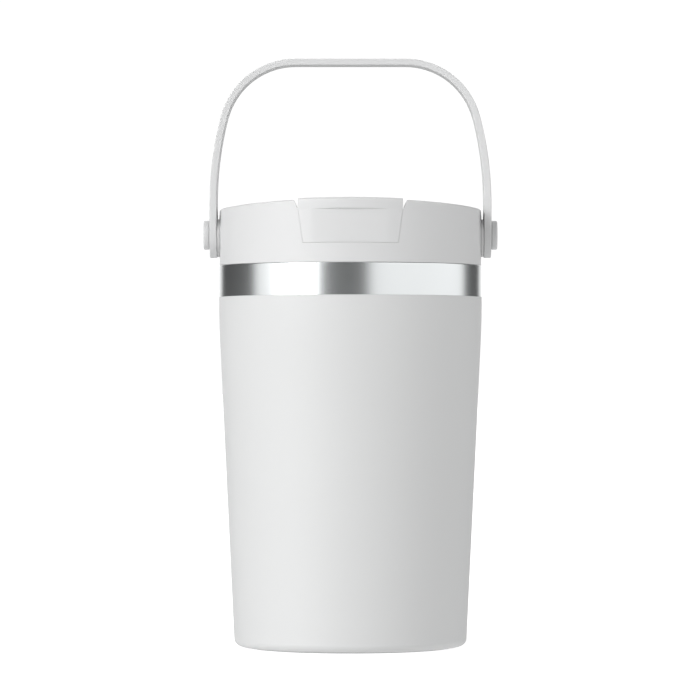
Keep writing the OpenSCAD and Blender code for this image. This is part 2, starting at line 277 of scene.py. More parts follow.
def slot_solid(name, cy, length, width, levels):
    """Solid of round-ended loops; levels are (inset, height) pairs."""
    rings = [slot_ring(cy, z, length - 2 * d, width - 2 * d) for d, z in levels]
    return loft(name, rings)


# -------------------------------------------------------------- the cup

def wall_r(z):
    """Outside radius of the cup, with a soft change from straight to taper."""
    soft = 6
    if z >= TAPER_TOP + soft:
        return CUP_R
    if z <= TAPER_TOP - soft:
        return BASE_R + SLOPE * z
    return CUP_R - SLOPE * (TAPER_TOP + soft - z) ** 2 / (4 * soft)


def wall_line(z0, z1, inset, n):
    """Points down or up the cup's wall between two heights."""
    return [(wall_r(z0 + (z1 - z0) * i / n) - inset, z0 + (z1 - z0) * i / n)
            for i in range(n + 1)]


def base_corner(inset, floor, r, n):
    """Rounded corner between a floor and the tapered wall, floor first."""
    lean = math.sqrt(1 + SLOPE * SLOPE)
    cx = BASE_R - inset + SLOPE * (floor + r) - r * lean
    return arc(cx, floor + r, r, -90, -math.degrees(math.atan(SLOPE)), n)


def coated_wall():
    floor = shell_low.z
    corner = 2.6
    top = shell_high.z
    open_r = disc_high.x
    outline = [(open_r, floor)]
    outline += base_corner(0, floor, corner, 14)
    outline += wall_line(5, top - 0.1, 0, 44)
    outline += arc(CUP_R - 0.1, top - 0.1, 0.1, 0, 90, 2)
    outline += [(CUP_R - WALL, top)]
    outline += wall_line(top - 0.5, 5, WALL, 44)
    outline += base_corner(WALL, floor + WALL, corner - WALL, 14)[::-1]
    outline += [(open_r, floor + WALL)]
    return lathe("coated_wall", outline, steps=256)


def steel_band():
    outline = rounded([
        (BAND_R - WALL, BAND_BOTTOM, 0),
        (BAND_R, BAND_BOTTOM, 0.05),
        (BAND_R, SHELF_Z, 0.3),
        (NECK_R, SHELF_Z, 0.5),
        (NECK_R, NECK_TOP, 0),
        (NECK_R - NECK_T, NECK_TOP, 0),
        (NECK_R - NECK_T, SHELF_Z - WALL, 0.3),
        (BAND_R - WALL, SHELF_Z - WALL, 0.3),
    ])
    return lathe("steel_band", outline, steps=256)


def liner():
    depth = CUP_R - LINER_R
    floor = liner_low.z + LINER_T
    top = NECK_TOP
    bend = (LINER_R + NECK_R) / 2
    fold = (NECK_R - LINER_R) / 2
    outline = [(0, floor), (12, floor), (24, floor)]
    outline += base_corner(depth, floor, 7, 12)
    outline += wall_line(18, top - 0.5, depth, 50)
    outline += arc(bend, top - 0.2, fold, 180, 0, 10)
    outline += [(LINER_R + LINER_T, top - 0.4)]
    outline += wall_line(top - 1, 18, depth - LINER_T, 50)
    outline += base_corner(depth - LINER_T, floor - LINER_T, 7, 12)[::-1]
    outline += [(0, floor - LINER_T)]
    return lathe("liner", outline, steps=192)


def foot():
    """Soft ring with two shallow grooves in its face."""
    low, high = foot_low.z, foot_high.z
    inner, outer = 24.0, foot_high.x
    depth = 0.18
    corners = [(inner, high, 0), (inner, low, 0.15)]
    for r in (inner + 3, outer - 3.6):
        corners += [(r, low, 0.06), (r, low + depth, 0.06), (r + 0.6, low + depth, 0.06),
                    (r + 0.6, low, 0.06)]
    corners += [(outer, low, 0.15), (outer, high, 0)]
    return lathe("foot", rounded(corners, 3), steps=160)


def base_plate():
    well, top = 21.0, disc_high.z - WALL
    step = well - top + disc_low.z
    outline = rounded([
        (1.2, top, 0), (step, top, 0.6), (well, disc_low.z, 0.5),
        (disc_high.x, disc_low.z, 0), (disc_high.x, disc_low.z + WALL, 0),
        (well + 0.4, disc_low.z + WALL, 0.8), (step + 0.4, disc_high.z, 0.5),
        (1.2, disc_high.z, 0),
    ])
    return lathe("base_plate", outline, steps=128)


def cover_disc():
    r = cover_high.x
    outline = rounded([
        (0, cover_low.z, 0), (r - 3, cover_low.z, 0.4), (r - 2.6, cover_low.z + 0.25, 0.4),
        (r - 0.9, cover_low.z + 0.25, 0.4), (r, cover_low.z + 0.6, 0.4),
        (r, cover_high.z, 0), (2.4, cover_high.z, 0), (2.4, cover_high.z - 0.5, 0),
        (0, cover_high.z - 0.5, 0),
    ], 4)
    return lathe("cover_disc", outline, steps=128)


# -------------------------------------------------------------- the lid

def crowned(p):
    """Lowers the lid's upper points by its side-to-side curve."""
    share = min(1.0, max(0.0, (p.z - DECK_UNDER - 4) / 2))
    return Vector((p.x, p.y, p.z - share * crown_drop(p.x, CROWN_R)))


def apron_outline(grow, top):
    """Front outline of the cap's apron as (x, z) points."""
    half = [(APRON_HALF + grow, APRON_LOW - grow), (CAP_HALF + grow, NOTCH_Z),
            (CAP_HALF + grow, top)]
    return half + [(-x, z) for x, z in reversed(half)]


def pocket_outline():
    """Pocket section: straight below the notches, flared and eased above them."""
    lean = (CAP_HALF - APRON_HALF) / (NOTCH_Z - APRON_LOW)
    floor_half = APRON_HALF + lean * (POCKET_Z - APRON_LOW) + CAP_GAP
    top_half = CAP_HALF + CAP_GAP + 1.3
    edge = RIM_TOP - crown_drop(top_half, CROWN_R)
    ease = 0.55
    half = rounded([
        (0, POCKET_Z, 0), (floor_half, POCKET_Z, 0.5), (CAP_HALF + CAP_GAP, NOTCH_Z, 0.6),
        (top_half - 0.1, edge - 0.1, ease), (top_half + 2.2, edge + 0.06, 0),
        (top_half + 2.2, edge + 4, 0), (0, edge + 4, 0),
    ], 8)
    half = [p for p in half if p[0] > 0.001]
    return half + [(-x, z) for x, z in reversed(half)]


def notch_chamfer(side):
    """Wedge that eases a V notch's front edge; it widens towards the front."""
    root = CAP_HALF + CAP_GAP
    flare = 1.4
    slope = flare / (RIM_TOP - NOTCH_Z)
    face = -math.sqrt(LID_R ** 2 - (root + 1) ** 2)
    ahead = 2.4
    low, top = NOTCH_Z + 0.15, RIM_TOP + 3
    rings = []
    for y, grow in ((face - ahead, ahead + NOTCH_EASE), (face + NOTCH_EASE, 0)):
        loop = [(root - 0.4, low), (root + 0.35 * grow, low),
                (root + slope * (top - NOTCH_Z) + grow, top), (root - 0.4, top)]
        rings.append([Vector((side * x, y, z)) for x, z in loop])
    return loft("chamfer", rings)


def hinge_ear(side):
    """Upright with a round top that holds one end of the cap's hinge pin."""
    r = KNUCKLE_R - 0.2
    y, z = cap_axis.y, cap_axis.z
    x0 = KNUCKLE_HALF + 0.4
    x1 = hinge_pin_high.x
    loop = arc(y, z, r, 0, 180, 20) + [(y - r, POCKET_Z - 0.6), (y + r, POCKET_Z - 0.6)]
    return loft("ear", edge_rings(loop, side * x0, side * x1, 0.3))


def inset_loop(loop, d):
    """A closed 2-D loop moved inwards by d, along the mean of its edge normals."""
    if d == 0:
        return loop
    area = sum(a[0] * b[1] - b[0] * a[1] for a, b in zip(loop, loop[1:] + loop[:1]))
    turn = 1 if area > 0 else -1
    out = []
    for i, p in enumerate(loop):
        here = Vector(p)
        back = (here - Vector(loop[i - 1]))
        ahead = (Vector(loop[(i + 1) % len(loop)]) - here)
        if back.length < 1e-6 or ahead.length < 1e-6:
            out.append(p)
            continue
        n1 = Vector((-back.y, back.x)).normalized() * turn
        n2 = Vector((-ahead.y, ahead.x)).normalized() * turn
        mean = (n1 + n2)
        mean = mean.normalized() if mean.length > 1e-6 else n1
        scale = d / max(0.4, mean.dot(n1))
        out.append((p[0] + mean.x * scale, p[1] + mean.y * scale))
    return out


def edge_rings(loop, x0, x1, r, n=3):
    """Rings of a (y, z) loop from x0 to x1, with both ends' edges rounded by r."""
    way = 1 if x1 > x0 else -1
    rings = []
    for k in range(n + 1):
        a = math.pi / 2 * k / n
        rings.append((x0 + way * r * (1 - math.sin(a)), r * (1 - math.cos(a))))
    rings = sorted(rings, key=lambda q: way * q[0])
    far = [(x0 + x1 - x, d) for x, d in reversed(rings)]
    return [[Vector((x, y, z)) for y, z in inset_loop(loop, d)] for x, d in rings + far]


def lid_body():
    dish = RIM_TOP - DISH_DEPTH
    edge = LID_R - RIM_W
    corners = [
        (0, DECK_UNDER, 0), (SKIRT_IN - 2.4, DECK_UNDER, 0), (SKIRT_IN, DECK_UNDER, 0.5),
        (SKIRT_IN, lid_low.z, 0.3), (LID_R, lid_low.z, 0.15), (LID_R, 140, 0),
        (LID_R, RIM_TOP, 0.8), (edge, RIM_TOP, 0.7), (edge, dish, 0.7),
    ]
    outline = rounded(corners)
    outline += [(edge * (1 - i / 14) - 0.5, dish) for i in range(1, 14)] + [(0, dish)]
    body = lathe("lid_body", outline, steps=256, shape=crowned)
    cut(body, prism_y("pocket", pocket_outline(), -CUP_R - 3, 0))
    front = prism_y("front", apron_outline(CAP_GAP, NOTCH_Z + 0.4), -CUP_R - 3, -30)
    inner = APRON_IN - 0.2
    core = lathe("core", [(0, 120), (inner, 120), (inner, 160), (0, 160)], steps=256)
    cut(body, cut(front, core))
    for side in (-1, 1):
        cut(body, notch_chamfer(side))
        cut(body, hinge_ear(side), "UNION")
        boss = bar_x("boss", 0, handle_axis.z, BOSS_R,
                     side * (SKIRT_IN + 1), side * washer_low.x, 96)
        cut(body, boss, "UNION")
    cut(body, slot_solid("hole", (spout_low.y + spout_high.y) / 2,
                         spout_high.x * 2 - 0.02, spout_high.y - spout_low.y - 0.02,
                         [(0, 130), (0, 150)]))
    return body


def plug_body():
    """Hollow plug with a rounded lower edge, a seal groove and a stiffening step."""
    r = PLUG_R
    inner = r - 3.5
    low = plug_low.z
    flange = liner_high.z + 0.3
    groove = gasket_low.z - 0.1
    body = lathe("plug_body", rounded([
        (0, low + 0.5, 0), (24, low + 0.5, 0.4), (25, low, 0.4), (r, low, 1.4),
        (r, groove, 0.2), (GROOVE_R, groove, 0), (GROOVE_R, gasket_high.z + 0.1, 0),
        (r, gasket_high.z + 0.1, 0.2), (r, flange, 0.2), (plug_high.x, flange, 0.3),
        (plug_high.x, plug_high.z, 0.3), (inner, plug_high.z, 0),
        (inner, low + 2, 0), (0, low + 2, 0),
    ]), steps=192)
    cut(body, slot_solid("hole", (spout_low.y + spout_high.y) / 2,
                         spout_high.x * 2 - 0.02, spout_high.y - spout_low.y - 0.02,
                         [(0, low - 2), (0, low + 4)]))
    return body


def seal_ring():
    """Soft ring with two round lips."""
    inner = GROOVE_R
    low, high = gasket_low.z, gasket_high.z
    root = PLUG_R - 0.3
    lip = gasket_high.x
    outline = rounded([
        (inner, low, 0.1), (root, low, 0.1), (lip, low + 0.4, 0.3), (root, low + 1.1, 0.2),
        (root, high - 1.1, 0.2), (lip, high - 0.4, 0.3), (root, high, 0.1), (inner, high, 0.1),
    ], 5)
    return lathe("seal_ring", outline, steps=192)


def drinking_spout():
    """Round-ended channel with a soft lip at the top."""
    cy = (spout_low.y + spout_high.y) / 2
    length = spout_high.x * 2
    width = spout_high.y - spout_low.y
    wall = 2.0
    low, high = spout_low.z, spout_high.z
    lip = 0.8
    outer = [(0, low + 0.3), (0, high - lip)]
    outer += [(lip * (1 - math.cos(a)), high - lip + lip * math.sin(a))
              for a in (math.radians(d) for d in (18, 36, 54, 72, 90))]
    inner = [(wall - lip + lip * math.sin(a), high - lip + lip * math.cos(a))
             for a in (math.radians(d) for d in (18, 36, 54, 72, 90))]
    levels = outer + inner + [(wall, low + 0.3), (wall - 0.3, low), (0.3, low)]
    rings = [slot_ring(cy, z, length - 2 * d, width - 2 * d) for d, z in levels]
    return loft("drinking_spout", rings, wrap=True)


def moved_lathe(name, outline, x, y):
    """Turned piece about an upright axis at (x, y)."""
    return lathe(name, outline, 64, lambda p: p + Vector((x, y, 0)))


def air_vent():
    y = (vent_low.y + vent_high.y) / 2
    r = vent_high.x
    return moved_lathe("air_vent", rounded([
        (1, vent_low.z, 0.2), (r, vent_low.z, 0.3), (r, vent_high.z, 0.5),
        (1, vent_high.z, 0.3)], 5), 0, y)


def head_pin(name, side):
    """Round-headed pin through the strap: a shallow dish in a rounded head."""
    r = pin_high.y
    inner = strap_high.x + 0.2
    outer = pin_high.x
    outline = rounded([
        (0, pin_low.x, 0), (PIN_R, pin_low.x, 0.3), (PIN_R, inner, 0), (r, inner, 0.25),
        (r, outer, 0.5), (r - 2.1, outer, 0.3), (r - 2.3, outer - 0.16, 0.3),
        (0, outer - 0.16, 0),
    ], 7)
    return lathe(name, outline, 96, lambda p: Vector(
        (side * p.z, p.x, p.y * side + handle_axis.z)))


def spacer(name, side):
    """Flat pad under the strap's round end, cut off level above the pin."""
    z = handle_axis.z
    r = washer_high.y
    flat = math.degrees(math.asin((washer_high.z - z) / r))
    loop = arc(0, z, r, flat, -180 - flat, 72)
    pad = loft(name, edge_rings(loop, side * washer_low.x, side * washer_high.x, 0.1))
    return cut(pad, bar_x("bore", 0, z, PIN_R, side * 43, side * 46))


# ------------------------------------------------------------ the handle

BOW_FLAT = 18.5                  # half length of the bow's flat top
CORNER_R, CORNER_END = 25.6, 70
HIP_R, HIP_END = 36, 76
LUG_T, TOP_T = 2.5, 2.2          # strap thickness at the pins and across the top
STRAP_EDGE = 0.35                # rounding of the strap's long edges
LUG_R = strap_high.y
BOW_HALF = 4.6


def leg_radius():
    """Radius of the bow's last arc, which ends upright at the strap's width."""
    corner, hip = (math.sin(math.radians(a)) for a in (CORNER_END, HIP_END))
    reach = BOW_FLAT + (CORNER_R - HIP_R) * corner + HIP_R * hip
    return (strap_high.x - reach) / (1 - hip)


# Bow outline: tangent arcs (radius, start, end), angles from straight up
BOW_ARCS = [(CORNER_R, 0, CORNER_END), (HIP_R, CORNER_END, HIP_END),
            (leg_radius(), HIP_END, 90)]


def strap_thickness(z):
    share = (z - handle_axis.z) / (strap_high.z - handle_axis.z)
    return LUG_T + (TOP_T - LUG_T) * min(1.0, max(0.0, share))


def bow_path():
    """Points and normals on the strap's outer face, right half, top first."""
    path = [(Vector((BOW_FLAT * i / 8, strap_high.z)), Vector((0, 1)))
            for i in range(8)]
    cx, cz = BOW_FLAT, strap_high.z - BOW_ARCS[0][0]
    for k, (r, a0, a1) in enumerate(BOW_ARCS):
        steps = max(6, int((a1 - a0) * r / 110))
        for i in range(steps + 1):
            if k and i == 0:
                continue
            a = math.radians(a0 + (a1 - a0) * i / steps)
            n = Vector((math.sin(a), math.cos(a)))
            path.append((Vector((cx, cz)) + n * r, n))
        if k + 1 < len(BOW_ARCS):
            a = math.radians(a1)
            cx += (r - BOW_ARCS[k + 1][0]) * math.sin(a)
            cz += (r - BOW_ARCS[k + 1][0]) * math.cos(a)
    leg_x = strap_high.x
    last = path[-1][0]
    for i in range(1, 4):
        path.append((last.lerp(Vector((leg_x, handle_axis.z)), i / 3), Vector((1, 0))))
    for i in range(1, 24):
        a = math.radians(i * 89 / 23)
        path.append((Vector((leg_x, handle_axis.z - LUG_R * math.sin(a))), Vector((1, 0))))
    return path


def strap_half_width(z):
    """Half of the strap's width at height z."""
    pivot = handle_axis.z
    if z < pivot:
        return math.sqrt(max(0.0, LUG_R ** 2 - (pivot - z) ** 2))
    share = (z - pivot) / (strap_high.z - pivot)
    return LUG_R + (BOW_HALF - LUG_R) * min(1.0, share)


def strap_height(y, z, half, thick):
    """Half thickness of the strap at y, less towards its rounded edges."""
    if z < handle_axis.z:
        inside = LUG_R - math.hypot(y, handle_axis.z - z)
    else:
        inside = half - abs(y)
    r = STRAP_EDGE
    near = max(0.0, r - max(0.0, inside))
    return thick / 2 - r + math.sqrt(max(0.0, r * r - near * near))


def strap_ring(point, normal, side):
    half = strap_half_width(point.y)
    thick = strap_thickness(point.y)
    edge = min(STRAP_EDGE, half)
    steps = [0, 0.05, 0.2, 0.45, 0.75, 1]
    across = [half - edge * s for s in steps]
    across += [(half - edge) * f for f in (0.66, 0.33, 0)]
    ys = across + [-y for y in reversed(across[:-1])]
    loop = []
    for way, order in ((1, ys), (-1, ys[::-1])):
        for y in order:
            h = way * strap_height(y, point.y, half, thick)
            p = point + normal * (h - thick / 2)
            loop.append(Vector((side * p.x, y, p.y)))
    return loop


def carry_strap():
    path = bow_path()
    right = [strap_ring(p, n, 1) for p, n in path]
    left = [strap_ring(p, n, -1) for p, n in path[1:]]
    body = loft("carry_strap", left[::-1] + right, sharp=40)
    for side in (-1, 1):
        cut(body, bar_x("bore", 0, handle_axis.z, PIN_R + 0.06, side * 40, side * 50, 64))
    return body


# -------------------------------------------------------------- the cap

NAIL_HALF = 12.4                 # half width of the recess under the thumb lip
NAIL_DEPTH = 0.75
NAIL_R = NAIL_HALF ** 2 / (2 * 1.04) + 0.52
CAP_REAR = cap_axis.y - KNUCKLE_R - 0.6


def skirt_y(x, r):
    """Front of a round wall of radius r at x."""
    return -math.sqrt(r * r - x * x)


def panel_y(x):
    """Face of the apron below the lip: a flatter curve set into the skirt."""
    flat = NAIL_R - LID_R + NAIL_DEPTH - math.sqrt(NAIL_R ** 2 - x * x)
    return max(skirt_y(x, LID_R), flat)


def cap_half_at(z):
    """Half width of the cap's outline at height z."""
    if z >= NOTCH_Z:
        return CAP_HALF + SEAM
    share = (z - APRON_LOW) / (NOTCH_Z - APRON_LOW)
    return APRON_HALF + (CAP_HALF - APRON_HALF) * share + SEAM


def cap_section(u):
    """Closed (y, z) section of the cap at the share u of its half width."""
    x = u * CAP_HALF
    low_x = u * APRON_HALF
    top = CAP_TOP - crown_drop(x, CROWN_R)
    face = skirt_y(x, LID_R - 0.02)
    panel = panel_y(u * cap_half_at(LIP_Z))
    step = max(0.0, panel - face)
    soft = max(0.02, min(0.35, step * 0.45))
    return rounded([
        (skirt_y(low_x, APRON_IN), APRON_LOW - SEAM, 0.2),
        (panel_y(low_x), APRON_LOW - SEAM, 0.15),
        (panel_y(u * cap_half_at(140)), 140, 0),
        (panel, LIP_Z - 0.1, soft),
        (face + 0.05, LIP_Z + 0.12, min(0.5, soft * 1.4)),
        (face - 0.02, LIP_Z + 1.6, 1.2),
        (face, top, 1.15),
        (CAP_REAR - 14, top, 0),
        (CAP_REAR, top, 0.5),
        (CAP_REAR, PLATE_UNDER, 0.4),
        (skirt_y(x, APRON_IN), PLATE_UNDER, 0.8),
    ], 7)


def cap_body():
    edge = 0.08
    count = 44
    columns = []
    for k in range(4):
        a = math.pi / 2 * k / 3
        columns.append((1 - edge * (1 - math.sin(a)) / CAP_HALF, edge * (1 - math.cos(a))))
    inner = [(1 - 2 * i / count) * (1 - edge / CAP_HALF) for i in range(count + 1)]
    shares = sorted(columns, key=lambda q: -q[0])
    shares += [(u, 0) for u in inner[1:-1]]
    shares += [(-u, d) for u, d in reversed(shares[:4])]
    rings = []
    for u, d in shares:
        section = inset_loop(cap_section(u), d)
        rings.append([Vector((u * cap_half_at(z), y, z)) for y, z in section])
    body = loft("cap_body", rings, sharp=38)
    y, z = cap_axis.y, cap_axis.z
    r = KNUCKLE_R
    loop = arc(y, z, r, 92, -150, 30)
    loop += [(CAP_REAR + 0.4, PLATE_UNDER + 0.08), (CAP_REAR - 1.2, PLATE_UNDER + 0.08),
             (CAP_REAR - 1.2, CAP_TOP - 0.13)]
    knuckle = loft("knuckle", edge_rings(loop, -KNUCKLE_HALF, KNUCKLE_HALF, 0.3))
    cut(body, knuckle, "UNION")
    cut(body, bar_x("bore", y, z, 1.06, -KNUCKLE_HALF - 1, KNUCKLE_HALF + 1))
    return body


def cap_plate():
    """Plate under the cap with rounded corners."""
    x1, y0, y1 = plate_high.x, plate_low.y, plate_high.y
    loop = rounded([(-x1, y0, 2.5), (x1, y0, 2.5), (x1, y1, 2.5), (-x1, y1, 2.5)], 8)
    levels = [(0.3, plate_low.z), (0.08, plate_low.z + 0.1), (0, plate_low.z + 0.3),
              (0, plate_high.z)]
    rings = [[Vector((x, y, z)) for x, y in inset_loop(loop, d)] for d, z in levels]
    return loft("cap_plate", rings)


def spout_plug():
    """Soft stopper: a flange and a domed nose."""
    cy = (stopper_low.y + stopper_high.y) / 2
    length = stopper_high.x * 2
    width = stopper_high.y - stopper_low.y
    nose = 2.25
    low, high = stopper_low.z, stopper_high.z
    seat = spout_high.z + 0.05
    levels = [(nose + 1.5, low), (nose + 0.7, low + 0.1), (nose + 0.2, low + 0.45),
              (nose, low + 1.0), (nose - 0.05, seat - 0.15), (nose - 0.25, seat),
              (0.15, seat), (0, seat + 0.12), (0, high)]
    return slot_solid("spout_plug", cy, length, width, levels)


def vent_button():
    y = (button_low.y + button_high.y) / 2
    r = button_high.x
    return moved_lathe("vent_button", rounded([
        (0, button_low.z, 0), (r, button_low.z, 0.6), (r, button_high.z, 0),
        (0, button_high.z, 0)], 6), 0, y)


# ------------------------------------------------------------- materials

def new_material(name):
    mat = bpy.data.materials.new(name)
    mat.use_nodes = True
    tree = mat.node_tree
    tree.nodes.clear()
    out = tree.nodes.new("ShaderNodeOutputMaterial")
    shader = tree.nodes.new("ShaderNodeBsdfPrincipled")
    tree.links.new(shader.outputs["BSDF"], out.inputs["Surface"])
    coords = tree.nodes.new("ShaderNodeTexCoord")
    return mat, tree, shader, coords


def noise(tree, coords, scale, detail, stretch=(1, 1, 1)):
    """Noise in object space; scale is in features per metre."""
    mapping = tree.nodes.new("ShaderNodeMapping")
    mapping.inputs["Scale"].default_value = stretch
    tree.links.new(coords.outputs["Object"], mapping.inputs["Vector"])
    node = tree.nodes.new("ShaderNodeTexNoise")
    node.inputs["Scale"].default_value = scale
    node.inputs["Detail"].default_value = detail
    tree.links.new(mapping.outputs["Vector"], node.inputs["Vector"])
    return node


def spread(tree, source, low, high):
    """Maps a 0 to 1 value onto the range low to high."""
    node = tree.nodes.new("ShaderNodeMapRange")
    node.inputs["To Min"].default_value = low
    node.inputs["To Max"].default_value = high
    tree.links.new(source, node.inputs["Value"])
    return node.outputs["Result"]


def tint(tree, source, dark, light):
    """Colour that varies from dark to light with a 0 to 1 value."""
    node = tree.nodes.new("ShaderNodeMix")
    node.data_type = "RGBA"
    node.inputs["A"].default_value = (*dark, 1)
    node.inputs["B"].default_value = (*light, 1)
    tree.links.new(source, node.inputs["Factor"])
    return node.outputs["Result"]


def bump(tree, shader, height, strength, distance):
    node = tree.nodes.new("ShaderNodeBump")
    node.inputs["Strength"].default_value = strength
    node.inputs["Distance"].default_value = distance
    tree.links.new(height, node.inputs["Height"])
    tree.links.new(node.outputs["Normal"], shader.inputs["Normal"])


PLASTIC_IOR = 1.46


def moulded(name, colour, rough, grain=2600, depth=0.00001, vary=0.012):
    """Plastic, rubber or coating: cloudy tone, fine grain and uneven gloss."""
    mat, tree, shader, coords = new_material(name)
    cloud = noise(tree, coords, 38, 4).outputs["Fac"]
    fine = noise(tree, coords, grain, 2).outputs["Fac"]
    dark = tuple(c * (1 - vary) for c in colour)
    light = tuple(min(1, c * (1 + vary)) for c in colour)
    tree.links.new(tint(tree, cloud, dark, light), shader.inputs["Base Color"])
    tree.links.new(spread(tree, fine, rough - 0.04, rough + 0.04), shader.inputs["Roughness"])
    shader.inputs["IOR"].default_value = PLASTIC_IOR
    bump(tree, shader, fine, 0.15, depth)
    return mat


def coat_material(name, colour):
    """Powder coat: soft orange-peel waves under a fine grain."""
    mat, tree, shader, coords = new_material(name)
    cloud = noise(tree, coords, 30, 4).outputs["Fac"]
    peel = noise(tree, coords, 900, 2).outputs["Fac"]
    grain = noise(tree, coords, 4200, 2).outputs["Fac"]
    dark = tuple(c * 0.988 for c in colour)
    light = tuple(c * 1.012 for c in colour)
    tree.links.new(tint(tree, cloud, dark, light), shader.inputs["Base Color"])
    tree.links.new(spread(tree, grain, 0.50, 0.60), shader.inputs["Roughness"])
    both = tree.nodes.new("ShaderNodeMath")
    both.operation = "MULTIPLY_ADD"
    both.inputs[1].default_value = 0.6
    tree.links.new(grain, both.inputs[0])
    tree.links.new(peel, both.inputs[2])
    bump(tree, shader, both.outputs["Value"], 0.25, 0.000008)
    return mat


def steel_material(name, rough, colour=(0.70, 0.72, 0.725)):
    """Stainless steel with fine turned lines round the axis."""
    mat, tree, shader, coords = new_material(name)
    lines = noise(tree, coords, 14000, 2, (0.002, 0.002, 1)).outputs["Fac"]
    cloud = noise(tree, coords, 60, 3).outputs["Fac"]
    dark = tuple(c * 0.97 for c in colour)
    light = tuple(min(1, c * 1.03) for c in colour)
    tree.links.new(tint(tree, cloud, dark, light), shader.inputs["Base Color"])
    tree.links.new(spread(tree, lines, rough - 0.012, rough + 0.012), shader.inputs["Roughness"])
    shader.inputs["Metallic"].default_value = 1
    bump(tree, shader, lines, 0.006, 0.000001)
    return mat


COAT = coat_material("powder_coat", (0.575, 0.58, 0.58))
LID = moulded("lid_plastic", (0.585, 0.588, 0.59), 0.5)
HANDLE = moulded("handle_plastic", (0.585, 0.588, 0.59), 0.5, grain=700, depth=0.000004)
WASHER = moulded("washer_plastic", (0.60, 0.60, 0.60), 0.5)
SILICONE = moulded("silicone", (0.46, 0.47, 0.47), 0.55, grain=1500)
FOAM = moulded("foam", (0.80, 0.79, 0.74), 0.9, grain=900, depth=0.0002, vary=0.05)
GETTER = moulded("getter", (0.05, 0.05, 0.05), 0.7, grain=2500, depth=0.00005)
STEEL = steel_material("bare_steel", 0.25)
LINER = steel_material("liner_steel", 0.33, (0.60, 0.60, 0.595))
SOLDER = steel_material("solder", 0.4, (0.55, 0.55, 0.54))
COPPER = steel_material("copper", 0.3, (0.80, 0.42, 0.27))


# ------------------------------------------------------------ put together

def place(obj, body, node, material):
    """Finishes a new piece: it stands for a CAD node and rides on its body."""
    finish_mesh(obj)
    obj.data.materials.clear()
    obj.data.materials.append(material)
    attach(obj, body)
    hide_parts(node)


def dress(node, material):
    """Gives a kept CAD node its material."""
    obj = nodes[node]
    obj.data.materials.clear()
    obj.data.materials.append(material)


place(coated_wall(), "cup", "outer_shell", COAT)
place(steel_band(), "cup", "steel_collar", STEEL)
place(liner(), "cup", "inner_liner", LINER)
place(foot(), "cup", "foot_ring", SILICONE)
place(base_plate(), "cup", "base_disc", LINER)
place(cover_disc(), "cup", "port_cover", COAT)
place(lid_body(), "lid", "lid_shell", LID)
place(plug_body(), "lid", "lid_plug", LID)
place(seal_ring(), "lid", "lid_gasket", SILICONE)
place(drinking_spout(), "lid", "sip_spout", LID)
place(air_vent(), "lid", "vent_tube", LID)
for word, side in (("left", -1), ("right", 1)):
    place(head_pin("head_pin_" + word, side), "lid", "pivot_pin_" + word, HANDLE)
    place(spacer("spacer_" + word, side), "lid", "pivot_washer_" + word, WASHER)
place(carry_strap(), "handle", "handle_strap", HANDLE)
place(cap_body(), "cap", "flip_cap", LID)
place(cap_plate(), "cap", "cap_inner_plate", LID)
place(spout_plug(), "cap", "spout_stopper", SILICONE)
place(vent_button(), "cap", "vent_stopper", SILICONE)
dress("copper_foil", COPPER)
dress("getter_clip", LINER)
dress("getter_pellet", GETTER)
dress("vacuum_seal", SOLDER)
dress("lid_insulation", FOAM)
dress("cap_hinge_pin", STEEL)


# ------------------------------------------------- floor, light and camera

FLOOR_DROP = 0.00005             # the floor lies a hair below the foot, metres
FLOOR_TONE = 0.75
FLOOR_GLOW = 0.62                # lifts the floor to white for the camera


def plain_floor():
    """White table with only a faint shadow where the cup stands."""
    bpy.ops.mesh.primitive_plane_add(size=60, location=(0, 0, -FLOOR_DROP))
    floor = bpy.context.object
    floor.name = "table"
    mat = bpy.data.materials.new("table_white")
    mat.use_nodes = True
    tree = mat.node_tree
    tree.nodes.clear()
    out = tree.nodes.new("ShaderNodeOutputMaterial")
    both = tree.nodes.new("ShaderNodeAddShader")
    path = tree.nodes.new("ShaderNodeLightPath")
    share = tree.nodes.new("ShaderNodeMath")
    share.operation = "MULTIPLY"
    share.inputs[1].default_value = FLOOR_GLOW
    glow = tree.nodes.new("ShaderNodeEmission")
    paint = tree.nodes.new("ShaderNodeBsdfDiffuse")
    paint.inputs["Color"].default_value = (FLOOR_TONE, FLOOR_TONE, FLOOR_TONE, 1)
    tree.links.new(path.outputs["Is Camera Ray"], share.inputs[0])
    tree.links.new(share.outputs["Value"], glow.inputs["Strength"])
    tree.links.new(glow.outputs[0], both.inputs[0])
    tree.links.new(paint.outputs[0], both.inputs[1])
    tree.links.new(both.outputs[0], out.inputs["Surface"])
    floor.data.materials.append(mat)
    floor.visible_glossy = False
    floor.visible_diffuse = False


# Upright light panels: azimuth of the middle (0 is the camera's side, positive
# to its right), half width and softness in degrees, and brightness
PANELS = [
    (-61, 31, 4, 1.42),          # left
    (-48, 15, 5, 5.75),          # brighter core of the left panel
    (67, 51, 4, 1.48),           # right
    (180, 24, 8, 1.3),           # rear
]
ABOVE = 0.30                     # light from overhead
BETWEEN = 0.04                   # light between the panels
BELOW = 0.42                     # light from just under the horizon
BENEATH = 1.05                   # light from straight below
BACKDROP = 1.05                  # what the camera sees behind the object
# Heights where one zone fades into the next, as the sine of the angle above level
PANEL_FOOT = (-0.06, 0.02)
PANEL_HEAD = (0.62, 0.82)
DEEP = (-0.5, -0.2)


def ramp(tree, source, x0, x1, y0, y1):
    """Soft step from y0 to y1 as the source goes from x0 to x1."""
    node = tree.nodes.new("ShaderNodeMapRange")
    node.interpolation_type = "SMOOTHSTEP"
    for name, value in (("From Min", x0), ("From Max", x1), ("To Min", y0), ("To Max", y1)):
        node.inputs[name].default_value = value
    tree.links.new(source, node.inputs["Value"])
    return node.outputs["Result"]


